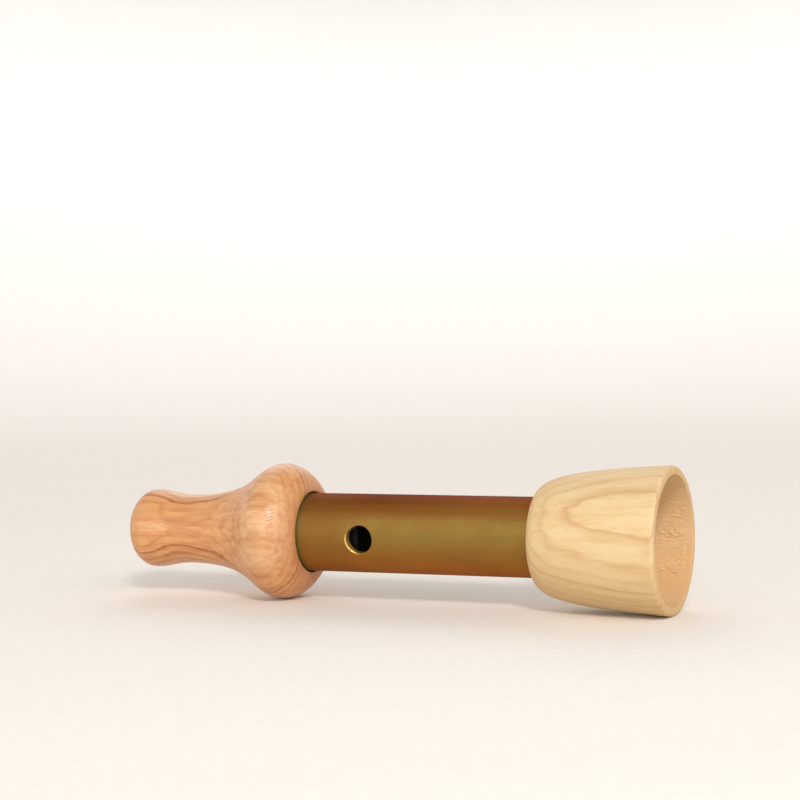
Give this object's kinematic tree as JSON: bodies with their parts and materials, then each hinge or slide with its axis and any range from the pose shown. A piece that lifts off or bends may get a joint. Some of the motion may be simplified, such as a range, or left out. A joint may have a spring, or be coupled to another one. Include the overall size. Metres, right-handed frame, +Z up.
{
  "type": "whistle bird call",
  "caption": "Mouth-blown whistle bird call: pear-shaped wooden mouthpiece, brass tube with a round window and an inner windway plug, and a cupped wooden bell.",
  "frame": {"origin": "on the floor under the middle of the call as it lies on its side, at the bottom centre of its box", "axes": "+X along the call's axis from the mouth end to the open bell, +Z up, with the window looking towards -Y"},
  "size_m": [0.118, 0.029, 0.029],
  "materials": {
    "mouthpiece_wood": "bare turned hardwood, pinkish tan, sanded",
    "aged_brass": "drawn tube, dulled to an olive brown",
    "black_plug": "black, satin",
    "bell_wood": "bare turned wood, pale yellow, with torn fibres inside the bowl"
  },
  "bodies": {
    "root": {"mouthpiece": "mouthpiece_wood", "tube": "aged_brass", "fipple_plug": "black_plug", "bell": "bell_wood"}
  },
  "joints": []
}
